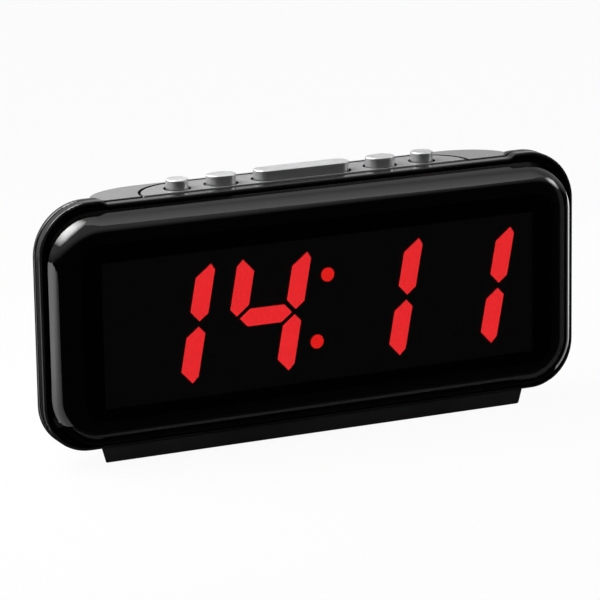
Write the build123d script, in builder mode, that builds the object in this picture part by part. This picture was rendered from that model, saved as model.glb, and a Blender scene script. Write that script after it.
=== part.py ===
from build123d import *
import os
from math import hypot, radians, tan

# Digital LED desk clock. X runs along the front, Y from front to back and Z up, in millimetres.
# The origin lies on the table, under the middle of the clock.

# Display: four slanted seven-segment digits and a colon
digit_height = 45.7
digit_width = 30.9
digit_pitch = 40.0
colon_space = 7.6
digit_slant = 10.7
segment_width = 7.5
bar_height = 6.8
segment_break = 1.4
middle_break = 1.0
mitre_slope = 0.9
tip_bevel = 1.2
low_tip_inset = 3.15
high_tip_inset = 2.05
dot_diameter = 5.5
dot_spacing = 25.9
display_side_margin = 11.75
display_end_margin = 5.35
segment_depth = 3.0
shown_digits = "1411"
lit_bars = {"1": "bc", "4": "bcfg"}

# Case
case_side_margin = 21.65
case_top_margin = 22.1
case_bottom_margin = 17.25
corner_radius = 20.5
low_corner_radius = 18.3
lens_proud = 9.0
frame_depth = 4.8
seam_inset = 1.2
seam_width = 1.1
seam_round = 0.5
rear_depth = 31.7
rear_band = 1.9
back_width = 172.0
back_top_drop = 9.1
back_radius = 16.0
back_round = 4.0
wall = 2.2
slant_wall = 2.75
edge_round = 0.5

# Step in the top edge, deeper in the frame than in the shell
rim_drop = 1.6
deck_drop = 1.2
notch_run = 4.2
notch_margin = 3.95

# Lens
lens_side_margin = 2.3
lens_top_margin = 3.8
lens_bottom_margin = 1.5
lens_corner_radius = 19.5
lens_round = 8.0
lens_draft = 20.0
lens_thickness = 2.2
flange_thickness = 2.8
gasket_thickness = 0.4
gasket_width = 1.5
mask_thickness = 0.3
display_gap = 1.5
rim_wall = 1.05
slip = 0.15

# Frame plate behind the lens
plate_thickness = 1.6
window_gap = 0.5

# Deck and button panel
deck_depth = 19.2
deck_end = 24.4
deck_skin = 3.6
deck_skirt = 8.0
end_straight = 0.6
panel_thickness = 2.0
panel_end = 19.6
panel_reach = 16.6
panel_margin = 1.0
panel_round = 0.8
panel_gap = 0.85
ledge_width = 2.0
ledge_front = 1.2

# Buttons
button_depth = 8.7
button_proud = 3.8
button_setback = 6.6
button_space = 7.9
oval_width = 11.8
snooze_width = 39.7
button_gap = 1.0
button_round = 0.45
button_travel = 1.0
ear_reach = 1.1
ear_depth = 5.0
ear_thickness = 1.0
ear_gap = 0.1
guide_diameter = 2.4
guide_spacing = 28.0
guide_gap = 0.4

# Switch board
switch_size = 6.0
switch_height = 3.5
plunger_diameter = 3.5
plunger_proud = 1.5
plunger_seat = 1.0
plunger_gap = 0.15
board_thickness = 1.6
switch_board_margin = 12.4
switch_board_depth = 14.0
panel_boss_diameter = 4.2
panel_boss_back = 6.9
panel_boss_end = 9.9
panel_boss_inner = 23.6

# Foot
foot_height = 5.9
foot_depth = 30.0
foot_inset = 22.75
foot_setback = 0.1
foot_draft = 1.65
foot_round = 0.9
foot_slant = 0.55
foot_floor = 2.2
pad_diameter = 10.0
pad_height = 1.6
pad_proud = 0.3
pad_inset = 14.0
pad_back_inset = 9.5
foot_screw_inner = 20.0
foot_screw_outer = 46.0

# Screws
case_screw_diameter = 2.8
case_screw_head = 5.8
case_screw_head_height = 2.4
case_screw_length = 9.0
board_screw_diameter = 2.0
board_screw_head = 3.8
board_screw_head_height = 1.4
board_screw_length = 6.0
cross_length = 3.2
cross_width = 0.9
screw_gap = 0.2
boss_wall = 2.0
boss_length = 7.2
case_screw_seat = 2.5
case_screw_inset = 18.0
case_screw_rise = 4.8
case_screw_drop = 7.15

# Display board
display_board_end = 8.5
display_board_trim = 0.2
display_screw_end = 5.0
display_screw_rise = 22.0
display_boss_length = 4.5
chip_length = 3.2
chip_width = 1.6
chip_height = 0.9

# Main board, hung on posts from the back wall
main_board_width = 116.0
main_board_height = 50.0
main_board_rise = 9.15
main_post_length = 7.7
main_post_inset = 5.0

# Power inlet
jack_inset = 16.0
jack_rise = 20.0
jack_size = 9.4
jack_bore = 6.0
jack_depth = 8.6
jack_pin_diameter = 2.0
jack_pin_length = 7.5
jack_recess = 0.3
opening_gap = 0.2

# Alarm slide switch
slider_spacing = 30.0
slider_travel = 4.0
slider_knob_length = 5.0
slider_knob_width = 3.6
slider_plate_length = 14.0
slider_plate_width = 7.0
slider_plate_thickness = 1.2
slider_stem = 1.8
slider_stem_reach = 1.6
slide_body_length = 9.6
slide_body_width = 5.0
slide_body_height = 4.0
slide_slot_depth = 2.2
slider_gap = 0.15

# Backup cell and its door
cell_inset = 24.0
cell_rise = 31.0
cell_diameter = 20.0
cell_thickness = 3.2
contact_thickness = 0.4
contact_width = 6.0
bay_margin = 2.0
bay_wall = 2.0
door_lap = 1.5
door_thickness = 1.8
door_gap = 0.2
cell_headroom = 0.7
tab_width = 4.0
tab_spacing = 16.0
tab_thickness = 1.2
tab_reach = 1.4
tab_root = 2.0
tab_swing = 4.2
tab_room = 1.3

# Parts on the main board
capacitor_inset = 34.8
capacitor_diameter = 10.0
capacitor_height = 13.0
buzzer_diameter = 13.0
buzzer_height = 6.5
sound_hole = 1.8
sound_pitch = 3.6
chip_inset = 34.8
clock_chip_length = 18.0
clock_chip_width = 7.5
clock_chip_height = 2.5
crystal_diameter = 3.0
crystal_length = 8.0
connector_length = 13.0
connector_width = 5.0
connector_height = 4.5
ribbon_width = 10.0
ribbon_thickness = 0.6
ribbon_slack = 8.0
ribbon_bend = 1.1
ribbon_turn = 3.0
switch_ribbon_inset = 16.0

# Overall sizes
display_width = 3 * digit_pitch + colon_space + digit_width + 2 * display_side_margin
display_height = digit_height + 2 * display_end_margin
case_width = display_width + 2 * case_side_margin
case_height = display_height + case_top_margin + case_bottom_margin
overall_depth = lens_proud + frame_depth + rear_depth

# Stations from front to back
lens_front = -overall_depth / 2
frame_front = lens_front + lens_proud
frame_back = frame_front + frame_depth
band_back = frame_back + rear_band
shell_back = frame_back + rear_depth
plate_back = frame_back
plate_front = plate_back - plate_thickness
flange_back = plate_front - gasket_thickness
flange_front = flange_back - flange_thickness
mask_front = lens_front + lens_thickness
display_face = mask_front + display_gap
display_depth = plate_back - display_face
deck_back = frame_back + deck_depth
button_y = frame_back + button_setback
boss_back = frame_back + boss_length

# Levels from the table up
foot_bottom = pad_proud
case_bottom = foot_bottom + foot_height
case_top = case_bottom + case_height
deck_top = case_top - deck_drop
display_level = case_bottom + case_bottom_margin + display_height / 2
back_top = case_top - back_top_drop
panel_bottom = deck_top - panel_thickness
ear_top = panel_bottom - ear_gap
ear_bottom = ear_top - ear_thickness
switch_top = ear_bottom - plunger_proud
switch_board_top = switch_top - switch_height
switch_board_bottom = switch_board_top - board_thickness

# Places along the front
notch_half = case_width / 2 - corner_radius - notch_margin
lens_width = case_width - 2 * lens_side_margin
lens_flat_inset = lens_round + (flange_front - lens_front) * tan(radians(lens_draft))
lens_low = case_bottom + lens_bottom_margin
lens_high = case_top - lens_top_margin
oval_x = snooze_width / 2 + button_space + oval_width / 2
round_x = oval_x + oval_width / 2 + button_space + button_depth / 2
panel_half = round_x + panel_reach
foot_half = case_width / 2 - foot_inset

# Buttons by place and length; the round ones are as long as they are deep
buttons = {
    "round_button_left": (-round_x, button_depth),
    "oval_button_left": (-oval_x, oval_width),
    "snooze_bar": (0, snooze_width),
    "oval_button_right": (oval_x, oval_width),
    "round_button_right": (round_x, button_depth),
}


def upright(depth):
    # Vertical sketch plane at a depth, as seen from the front
    return Plane.XZ.offset(-depth)


def level(height):
    # Flat sketch plane at a height
    return Plane.XY.offset(height)


def case_outline(depth, inset, drop=rim_drop):
    # Outline of the case, its top edge stepped down between two S-shaped notches
    half = case_width / 2 - inset
    radius = corner_radius - inset
    low_radius = low_corner_radius - inset
    low = case_bottom + inset
    high = case_top - inset
    with BuildSketch(upright(depth)) as outline:
        with BuildLine():
            base = Line((0, low), (half - low_radius, low))
            low_turn = JernArc(base @ 1, (1, 0), low_radius, 90)
            side = Line(low_turn @ 1, (half, high - radius))
            high_turn = JernArc(side @ 1, (0, 1), radius, 90)
            shoulder = Line(high_turn @ 1, (notch_half, high))
            halfway = (notch_half - notch_run / 2, high - drop / 2)
            step = TangentArc(shoulder @ 1, halfway, tangent=(-1, 0))
            sweep_in = TangentArc(step @ 1, (notch_half - notch_run, high - drop), tangent=step % 1)
            Line(sweep_in @ 1, (0, high - drop))
            mirror(about=Plane.YZ)
        make_face()
    return outline.sketch


def upright_rectangle(depth, width, low, high, radius):
    # Upright rectangle with rounded corners, centred across the clock
    with BuildSketch(upright(depth)) as outline:
        with Locations((0, (low + high) / 2)):
            RectangleRounded(width, high - low, radius)
    return outline.sketch


def shell_section(depth, inset):
    # Outline of the tapering rear shell at a depth
    share = (depth - band_back) / (shell_back - band_back)
    width = case_width + (back_width - case_width) * share - 2 * inset
    low = case_bottom + inset
    high = case_top - back_top_drop * share - inset
    with BuildSketch(upright(depth)) as outline:
        with Locations((0, (low + high) / 2)):
            Rectangle(width, high - low)
        low_radius = low_corner_radius + (back_radius - low_corner_radius) * share - inset
        fillet(outline.vertices().group_by(Axis.Y)[0], low_radius)
        high_radius = corner_radius + (back_radius - corner_radius) * share - inset
        fillet(outline.vertices().group_by(Axis.Y)[-1], high_radius)
    return outline.sketch


def deck_plan(height, half, reach, front, back):
    # Plan of the deck or its panel: a straight front edge and ends rounded as quarter ellipses
    end_front = front + end_straight
    with BuildSketch(level(height)) as outline:
        with BuildLine():
            edge = Line((0, front), (half, front))
            Line(edge @ 1, (half, end_front))
            turn = EllipticalCenterArc((half - reach, end_front), reach, back - end_front, 0, arc_size=90)
            Line(turn @ 1, (0, back))
            mirror(about=Plane.YZ)
        make_face()
    return outline.sketch


def foot_plan(height, half, front, back):
    # Plan of the foot: a straight front edge and ends that slant inward to the back
    with BuildSketch(level(height)) as outline:
        with BuildLine():
            edge = Line((0, front), (half, front))
            end = Line(edge @ 1, (half - foot_slant * (back - front), back))
            Line(end @ 1, (0, back))
            mirror(about=Plane.YZ)
        make_face()
    return outline.sketch


def slanted(points, digit_x):
    # Points of a digit, leaned over and placed on the display
    lean = tan(radians(digit_slant))
    return [(digit_x + x + z * lean, display_level + z) for x, z in points]


def bar_points(name):
    # Corners of one bar of an upright digit, about the digit's middle
    half = digit_width / 2
    top = digit_height / 2
    inner = half - segment_width
    low_tip = half - low_tip_inset
    high_tip = half - high_tip_inset
    upright_bar = [
        (half, middle_break + mitre_slope * low_tip_inset),
        (half, top - tip_bevel * high_tip_inset),
        (high_tip, top),
        (inner, top - mitre_slope * (high_tip - inner)),
        (inner, middle_break + mitre_slope * (low_tip - inner)),
        (low_tip, middle_break),
    ]
    middle_tip = low_tip - segment_break
    middle_end = middle_tip - bar_height / 2 / mitre_slope
    middle_bar = [
        (middle_tip, 0),
        (middle_end, bar_height / 2),
        (-middle_end, bar_height / 2),
        (-middle_tip, 0),
        (-middle_end, -bar_height / 2),
        (middle_end, -bar_height / 2),
    ]
    cap_end = high_tip - segment_break
    cap_inner = cap_end - bar_height / mitre_slope
    cap_bar = [(cap_end, top), (-cap_end, top), (-cap_inner, top - bar_height), (cap_inner, top - bar_height)]
    flips = {"a": (1, 1), "b": (1, 1), "c": (1, -1), "d": (1, -1), "e": (-1, -1), "f": (-1, 1), "g": (1, 1)}
    shapes = {"a": cap_bar, "d": cap_bar, "g": middle_bar}
    flip_x, flip_z = flips[name]
    return [(x * flip_x, z * flip_z) for x, z in shapes.get(name, upright_bar)]


digit_places = [
    (index - 1.5) * digit_pitch + (colon_space / 2 if index > 1 else -colon_space / 2)
    for index in range(len(shown_digits))
]
lit_outlines = []
dark_outlines = []
for digit, digit_x in zip(shown_digits, digit_places):
    for name in "abcdefg":
        outline = slanted(bar_points(name), digit_x)
        if name in lit_bars[digit]:
            lit_outlines.append(outline)
        else:
            dark_outlines.append(outline)
dot_places = slanted([(0, dot_spacing / 2), (0, -dot_spacing / 2)], 0)


def middle_of(outline):
    # Middle of an outline's corners
    return (sum(x for x, z in outline) / len(outline), sum(z for x, z in outline) / len(outline))


# Places of the screws, in the front view
case_screw_x = back_width / 2 - case_screw_inset
case_screw_places = [
    (side * case_screw_x, height)
    for side in (-1, 1)
    for height in (display_level + display_height / 2 + case_screw_rise, case_bottom + case_screw_drop)
]
display_board_half = display_width / 2 + display_board_end
display_screw_places = [
    (side * (display_width / 2 + display_screw_end), display_level + rise)
    for side in (-1, 1)
    for rise in (-display_screw_rise, display_screw_rise)
]
main_board_back = shell_back - wall - main_post_length
main_board_front = main_board_back - board_thickness
main_board_low = case_bottom + main_board_rise
main_board_middle = main_board_low + main_board_height / 2
main_screw_places = [
    (side * (main_board_width / 2 - main_post_inset), main_board_middle + lift)
    for side in (-1, 1)
    for lift in (main_post_inset - main_board_height / 2, main_board_height / 2 - main_post_inset)
]

# Places of the panel screws and of the foot's screws and pads, in plan
panel_boss_places = [
    (side * place, button_y + back)
    for side in (-1, 1)
    for place, back in ((round_x + panel_boss_end, 0), (panel_boss_inner, panel_boss_back))
]
foot_front = frame_front + foot_setback
foot_back = foot_front + foot_depth
foot_screw_places = [
    (side * place, (foot_front + foot_back) / 2)
    for side in (-1, 1)
    for place in (foot_screw_inner, foot_screw_outer)
]
pad_places = [
    (side * place, depth)
    for side in (-1, 1)
    for place, depth in (
        (foot_half - pad_inset, foot_front + pad_inset / 2),
        (foot_half - foot_depth, foot_back - pad_back_inset),
    )
]

# Places on the back, set out from the ends of the main board
jack_x = jack_inset - main_board_width / 2
slider_x = jack_x + slider_spacing
cell_x = main_board_width / 2 - cell_inset
chip_x = chip_inset - main_board_width / 2
capacitor_x = main_board_width / 2 - capacitor_inset
switch_ribbon_x = main_board_width / 2 - switch_ribbon_inset
jack_level = case_bottom + jack_rise
slider_level = jack_level
cell_level = case_bottom + cell_rise
bay_half = cell_diameter / 2 + bay_margin
door_half = bay_half + door_lap
door_inner = shell_back - door_gap - door_thickness
cell_back = door_inner - cell_headroom
cell_front = cell_back - cell_thickness
bay_floor = cell_front - contact_thickness
buzzer_place = (jack_x, main_board_low + main_board_height - buzzer_diameter)

# Lens: a pillow with a flat flange, hollow behind
with BuildPart() as lens_hollow:
    hollow_outline = upright_rectangle(
        flange_back,
        lens_width - 2 * lens_thickness,
        lens_low + lens_thickness,
        lens_high - lens_thickness,
        lens_corner_radius - lens_thickness,
    )
    extrude(hollow_outline, amount=flange_back - mask_front, taper=lens_draft)
    fillet(lens_hollow.faces().sort_by(Axis.Y)[0].edges(), lens_round - lens_thickness)

with BuildPart() as front_lens:
    extrude(
        upright_rectangle(flange_front, lens_width, lens_low, lens_high, lens_corner_radius),
        amount=flange_front - lens_front,
        taper=lens_draft,
    )
    fillet(front_lens.faces().sort_by(Axis.Y)[0].edges(), lens_round)
    extrude(case_outline(flange_front, rim_wall + slip), amount=-flange_thickness)
    add(lens_hollow.part, mode=Mode.SUBTRACT)

# Black mask film on the flat of the lens, with the display window
with BuildPart() as lens_mask:
    film_outline = upright_rectangle(
        mask_front,
        lens_width - 2 * lens_flat_inset,
        lens_low + lens_flat_inset,
        lens_high - lens_flat_inset,
        lens_corner_radius - lens_flat_inset,
    )
    extrude(film_outline, amount=-mask_thickness)
    with BuildSketch(upright(mask_front)):
        with Locations((0, display_level)):
            Rectangle(display_width, display_height)
    extrude(amount=-mask_thickness, mode=Mode.SUBTRACT)

# Foam gasket between the flange and the frame's plate
with BuildPart() as lens_gasket:
    extrude(case_outline(flange_back, rim_wall + slip), amount=-gasket_thickness)
    extrude(
        case_outline(flange_back, rim_wall + slip + gasket_width),
        amount=-gasket_thickness,
        mode=Mode.SUBTRACT,
    )

# Front frame: rim, set-in neck that leaves a seam before the shell, plate with the window, bosses
boss_diameter = case_screw_diameter + 2 * boss_wall
display_boss_diameter = board_screw_diameter + 2 * boss_wall
with BuildPart() as front_frame:
    extrude(case_outline(frame_front, 0), amount=seam_width - frame_depth)
    fillet(front_frame.faces().sort_by(Axis.Y)[0].edges(), edge_round)
    extrude(case_outline(frame_back, seam_inset), amount=seam_width)
    extrude(case_outline(frame_front, rim_wall), amount=frame_front - plate_front, mode=Mode.SUBTRACT)
    with BuildSketch(upright(plate_front)):
        with Locations((0, display_level)):
            Rectangle(display_width + 2 * window_gap, display_height + 2 * window_gap)
    extrude(amount=-plate_thickness, mode=Mode.SUBTRACT)
    with BuildSketch(upright(plate_back)):
        with Locations(*case_screw_places):
            Circle(boss_diameter / 2)
    extrude(amount=plate_back - boss_back)
    with BuildSketch(upright(plate_front)):
        with Locations(*display_screw_places):
            Circle(display_boss_diameter / 2)
    extrude(amount=display_boss_length)
    with BuildSketch(upright(boss_back)):
        with Locations(*case_screw_places):
            Circle((case_screw_diameter + screw_gap) / 2)
    extrude(amount=case_screw_length - case_screw_seat + screw_gap, mode=Mode.SUBTRACT)
    with BuildSketch(upright(plate_back)):
        with Locations(*display_screw_places):
            Circle((board_screw_diameter + screw_gap) / 2)
    extrude(amount=board_screw_length - board_thickness + screw_gap, mode=Mode.SUBTRACT)

# Inside of the rear shell
with BuildPart() as shell_hollow:
    loft([shell_section(band_back, slant_wall), shell_section(shell_back - wall, slant_wall)])
    extrude(case_outline(frame_back, slant_wall, deck_drop), amount=-rear_band)

# Rear shell: flush band, tapering back, flat deck on top, posts and openings
post_diameter = case_screw_head + screw_gap + 2 * boss_wall
main_post_diameter = board_screw_diameter + 2 * boss_wall
foot_screw_seat = case_screw_head_height + screw_gap
foot_thread = case_screw_length - foot_height + foot_screw_seat
pocket_back = deck_back - panel_margin
inner_wall = shell_back - wall
door_axis_y = shell_back - door_gap
door_top = cell_level + door_half
with BuildPart() as rear_shell:
    loft([shell_section(band_back, 0), shell_section(shell_back, 0)])
    fillet(rear_shell.faces().sort_by(Axis.Y)[-1].edges(), back_round)
    extrude(case_outline(frame_back, 0, deck_drop), amount=-rear_band)
    fillet(rear_shell.faces().sort_by(Axis.Y)[0].edges(), seam_round)
    deck_cut = deck_plan(deck_top, notch_half, deck_end, band_back, deck_back)
    extrude(deck_cut, amount=case_top, mode=Mode.SUBTRACT)
    add(shell_hollow.part, mode=Mode.SUBTRACT)
    with BuildPart(mode=Mode.PRIVATE) as deck_wall:
        extrude(deck_cut, amount=-deck_skirt)
        extrude(
            deck_plan(deck_top - deck_skin, notch_half - wall, deck_end - wall, band_back, deck_back - wall),
            amount=deck_skin - deck_skirt,
            mode=Mode.SUBTRACT,
        )
    add(deck_wall.part)
    extrude(
        deck_plan(deck_top, panel_half + panel_gap, panel_end + panel_gap, frame_back, pocket_back),
        amount=-panel_thickness,
        mode=Mode.SUBTRACT,
    )
    extrude(
        deck_plan(
            deck_top,
            panel_half + panel_gap - ledge_width,
            panel_end + panel_gap - ledge_width,
            frame_back + ledge_front,
            pocket_back - ledge_width,
        ),
        amount=-deck_skirt,
        mode=Mode.SUBTRACT,
    )
    with BuildSketch(upright(boss_back)):
        with Locations(*case_screw_places):
            Circle(post_diameter / 2)
    extrude(amount=boss_back - inner_wall - wall / 2)
    with BuildSketch(upright(main_board_back)):
        with Locations(*main_screw_places):
            Circle(main_post_diameter / 2)
    extrude(amount=-(main_post_length + wall / 2))
    with BuildSketch(level(case_bottom + wall / 2)):
        with Locations(*foot_screw_places):
            Circle(boss_diameter / 2)
    extrude(amount=foot_thread)
    with BuildSketch(upright(shell_back - wall / 2)):
        with Locations((cell_x, cell_level)):
            Rectangle(2 * (bay_half + bay_wall), 2 * (bay_half + bay_wall))
    extrude(amount=shell_back - wall / 2 - bay_floor + bay_wall)
    # Screw wells and holes
    with BuildSketch(upright(shell_back)):
        with Locations(*case_screw_places):
            Circle((case_screw_head + screw_gap) / 2)
    extrude(amount=shell_back - boss_back - case_screw_seat, mode=Mode.SUBTRACT)
    with BuildSketch(upright(boss_back)):
        with Locations(*case_screw_places):
            Circle(case_screw_diameter / 2 + screw_gap)
    extrude(amount=-case_screw_seat, mode=Mode.SUBTRACT)
    with BuildSketch(upright(main_board_back)):
        with Locations(*main_screw_places):
            Circle((board_screw_diameter + screw_gap) / 2)
    extrude(amount=board_thickness - board_screw_length - screw_gap, mode=Mode.SUBTRACT)
    with BuildSketch(level(case_bottom)):
        with Locations(*foot_screw_places):
            Circle((case_screw_diameter + screw_gap) / 2)
    extrude(amount=foot_thread + screw_gap, mode=Mode.SUBTRACT)
    # Openings for the power inlet, the alarm slider and the sounder
    with BuildSketch(upright(shell_back)):
        with Locations((jack_x, jack_level)):
            Rectangle(jack_size + 2 * opening_gap, jack_size + 2 * opening_gap)
        with Locations((slider_x, slider_level)):
            Rectangle(
                slider_knob_length + slider_travel + 2 * opening_gap,
                slider_knob_width + 2 * opening_gap,
            )
        with Locations(buzzer_place):
            Circle(sound_hole / 2)
            with PolarLocations(sound_pitch, 6):
                Circle(sound_hole / 2)
    extrude(amount=wall, mode=Mode.SUBTRACT)
    # Bay for the backup cell, with the seat and the tab slots of its door
    with BuildSketch(upright(shell_back)):
        with Locations((cell_x, cell_level)):
            Rectangle(2 * bay_half, 2 * bay_half)
    extrude(amount=shell_back - bay_floor, mode=Mode.SUBTRACT)
    with BuildSketch(upright(shell_back)):
        with Locations((cell_x, cell_level)):
            Rectangle(2 * (door_half + door_gap), 2 * (door_half + door_gap))
    extrude(amount=shell_back - door_inner, mode=Mode.SUBTRACT)
    with BuildSketch(upright(door_inner + door_gap / 2)):
        with Locations((cell_x, door_top + (tab_reach + door_gap - tab_swing) / 2)):
            with GridLocations(tab_spacing, 0, 2, 1):
                Rectangle(tab_width + 4 * door_gap, tab_reach + door_gap + tab_swing)
    extrude(amount=tab_thickness + tab_room, mode=Mode.SUBTRACT)
    # Slots that the cell's contacts pass through to the board
    with BuildSketch(upright(bay_floor)):
        with Locations((cell_x, cell_level - cell_diameter / 2 - bay_margin / 2)):
            Rectangle(contact_width + 2 * opening_gap, contact_thickness + 2 * opening_gap)
        with Locations((cell_x + (cell_diameter + contact_thickness) / 2, cell_level)):
            Rectangle(contact_thickness + 2 * opening_gap, contact_width + 2 * opening_gap)
    extrude(amount=bay_wall, mode=Mode.SUBTRACT)

# Case screws, driven from the back
with BuildPart() as case_screws:
    with BuildSketch(upright(boss_back + case_screw_seat)):
        with Locations(*case_screw_places):
            Circle(case_screw_head / 2)
    extrude(amount=-case_screw_head_height)
    with BuildSketch(upright(boss_back + case_screw_seat)):
        with Locations(*case_screw_places):
            Circle(case_screw_diameter / 2)
    extrude(amount=case_screw_length)
    with BuildSketch(upright(boss_back + case_screw_seat + case_screw_head_height)):
        with Locations(*case_screw_places):
            Rectangle(cross_length, cross_width)
            Rectangle(cross_width, cross_length)
    extrude(amount=case_screw_head_height / 2, mode=Mode.SUBTRACT)


def cap_outline(height, place, length, grow):
    # Plan of a button, with an even gap added round it
    with BuildSketch(level(height)) as outline:
        with Locations((place, button_y)):
            if length > button_depth:
                SlotOverall(length + 2 * grow, button_depth + 2 * grow)
            else:
                Circle(button_depth / 2 + grow)
    return outline.sketch


def push_button(place, length):
    # Button cap with an ear at each end that keeps it under the panel
    with BuildPart() as cap:
        extrude(cap_outline(ear_bottom, place, length, 0), amount=deck_top + button_proud - ear_bottom)
        fillet(cap.faces().sort_by(Axis.Z)[-1].edges(), button_round)
        with BuildSketch(level(ear_bottom)):
            with Locations((place, button_y)):
                Rectangle(length + 2 * (button_gap + ear_reach), ear_depth)
        extrude(amount=ear_thickness)
    return cap.part


def switch_plunger(place):
    # Plunger of one key switch
    with BuildPart() as plunger:
        with BuildSketch(level(switch_top - plunger_seat)):
            with Locations((place, button_y)):
                Circle(plunger_diameter / 2)
        extrude(amount=plunger_seat + plunger_proud)
    return plunger.part


# Button panel let into the deck, with bosses for the switch board
with BuildPart() as button_panel:
    extrude(
        deck_plan(panel_bottom, panel_half, panel_end, frame_back, pocket_back - panel_gap),
        amount=panel_thickness,
    )
    fillet(button_panel.faces().sort_by(Axis.Z)[-1].edges(), panel_round)
    for place, length in buttons.values():
        extrude(
            cap_outline(panel_bottom, place, length, button_gap),
            amount=panel_thickness,
            mode=Mode.SUBTRACT,
        )
    with BuildSketch(level(switch_board_top)):
        with Locations(*panel_boss_places):
            Circle(panel_boss_diameter / 2)
    extrude(amount=panel_bottom - switch_board_top)
    with BuildSketch(level(switch_board_top)):
        with Locations(*panel_boss_places):
            Circle((board_screw_diameter + screw_gap) / 2)
    extrude(amount=board_screw_length - board_thickness + screw_gap, mode=Mode.SUBTRACT)

# Five push buttons
with BuildPart() as round_button_left:
    add(push_button(-round_x, button_depth))

with BuildPart() as oval_button_left:
    add(push_button(-oval_x, oval_width))

with BuildPart() as snooze_bar:
    add(push_button(0, snooze_width))
    with BuildSketch(level(ear_bottom)):
        with Locations((0, button_y)):
            with GridLocations(guide_spacing, 0, 2, 1):
                Circle(guide_diameter / 2)
    extrude(amount=switch_board_bottom - ear_bottom)

with BuildPart() as oval_button_right:
    add(push_button(oval_x, oval_width))

with BuildPart() as round_button_right:
    add(push_button(round_x, button_depth))

# Plungers of the key switches
with BuildPart() as round_plunger_left:
    add(switch_plunger(-round_x))

with BuildPart() as oval_plunger_left:
    add(switch_plunger(-oval_x))

with BuildPart() as snooze_plunger:
    add(switch_plunger(0))

with BuildPart() as oval_plunger_right:
    add(switch_plunger(oval_x))

with BuildPart() as round_plunger_right:
    add(switch_plunger(round_x))

# Key switches and their board
switch_places = [(place, button_y) for place, length in buttons.values()]
with BuildPart() as key_switches:
    with BuildSketch(level(switch_board_top)):
        with Locations(*switch_places):
            Rectangle(switch_size, switch_size)
    extrude(amount=switch_height)
    with BuildSketch(level(switch_top)):
        with Locations(*switch_places):
            Circle(plunger_diameter / 2 + plunger_gap)
    extrude(amount=-(plunger_seat + button_travel + button_gap), mode=Mode.SUBTRACT)

switch_board_front = frame_back + wall
with BuildPart() as switch_board:
    with BuildSketch(level(switch_board_bottom)):
        with Locations((0, switch_board_front + switch_board_depth / 2)):
            Rectangle(2 * (round_x + switch_board_margin), switch_board_depth)
        with Locations(*panel_boss_places):
            Circle(board_screw_diameter / 2 + screw_gap, mode=Mode.SUBTRACT)
        with Locations((0, button_y)):
            with GridLocations(guide_spacing, 0, 2, 1):
                Circle(guide_diameter / 2 + guide_gap, mode=Mode.SUBTRACT)
    extrude(amount=board_thickness)

with BuildPart() as switch_board_screws:
    with BuildSketch(level(switch_board_bottom)):
        with Locations(*panel_boss_places):
            Circle(board_screw_head / 2)
    extrude(amount=-board_screw_head_height)
    with BuildSketch(level(switch_board_bottom)):
        with Locations(*panel_boss_places):
            Circle(board_screw_diameter / 2)
    extrude(amount=board_screw_length)

# Display: light-tight housing, bars, colon, lamps and board
with BuildPart() as display_housing:
    with BuildSketch(upright(display_face)):
        with Locations((0, display_level)):
            Rectangle(display_width, display_height)
        for outline in lit_outlines + dark_outlines:
            with BuildLine():
                Polyline(*outline, close=True)
            make_face(mode=Mode.SUBTRACT)
        with Locations(*dot_places):
            Circle(dot_diameter / 2, mode=Mode.SUBTRACT)
    extrude(amount=-display_depth)

with BuildPart() as lit_segments:
    with BuildSketch(upright(display_face)):
        for outline in lit_outlines:
            with BuildLine():
                Polyline(*outline, close=True)
            make_face()
    extrude(amount=-segment_depth)

with BuildPart() as dark_segments:
    with BuildSketch(upright(display_face)):
        for outline in dark_outlines:
            with BuildLine():
                Polyline(*outline, close=True)
            make_face()
    extrude(amount=-segment_depth)

with BuildPart() as colon_dots:
    with BuildSketch(upright(display_face)):
        with Locations(*dot_places):
            Circle(dot_diameter / 2)
    extrude(amount=-segment_depth)

with BuildPart() as led_chips:
    with BuildSketch(upright(plate_back)):
        with Locations(*[middle_of(outline) for outline in lit_outlines + dark_outlines], *dot_places):
            Rectangle(chip_length, chip_width)
    extrude(amount=chip_height)

with BuildPart() as display_board:
    with BuildSketch(upright(plate_back)):
        with Locations((0, display_level)):
            Rectangle(2 * display_board_half, display_height - 2 * display_board_trim)
        with Locations(*display_screw_places):
            Circle(board_screw_diameter / 2 + screw_gap, mode=Mode.SUBTRACT)
    extrude(amount=-board_thickness)

display_board_back = plate_back + board_thickness
with BuildPart() as display_board_screws:
    with BuildSketch(upright(display_board_back)):
        with Locations(*display_screw_places):
            Circle(board_screw_head / 2)
    extrude(amount=-board_screw_head_height)
    with BuildSketch(upright(display_board_back)):
        with Locations(*display_screw_places):
            Circle(board_screw_diameter / 2)
    extrude(amount=board_screw_length)

# Main board and what sits on it
with BuildPart() as main_board:
    with BuildSketch(upright(main_board_front)):
        with Locations((0, main_board_middle)):
            Rectangle(main_board_width, main_board_height)
        with Locations(*main_screw_places):
            Circle(board_screw_diameter / 2 + screw_gap, mode=Mode.SUBTRACT)
    extrude(amount=-board_thickness)

with BuildPart() as main_board_screws:
    with BuildSketch(upright(main_board_front)):
        with Locations(*main_screw_places):
            Circle(board_screw_head / 2)
    extrude(amount=board_screw_head_height)
    with BuildSketch(upright(main_board_front)):
        with Locations(*main_screw_places):
            Circle(board_screw_diameter / 2)
    extrude(amount=-board_screw_length)

with BuildPart() as clock_chip:
    with BuildSketch(upright(main_board_front)):
        with Locations((chip_x, main_board_middle)):
            Rectangle(clock_chip_length, clock_chip_width)
    extrude(amount=clock_chip_height)

with BuildPart() as quartz_crystal:
    crystal_level = main_board_middle - clock_chip_width - crystal_diameter
    crystal_start = chip_x - crystal_length / 2
    with BuildSketch(Plane.YZ.offset(crystal_start)):
        with Locations((main_board_front - crystal_diameter / 2, crystal_level)):
            Circle(crystal_diameter / 2)
    extrude(amount=crystal_length)

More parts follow.
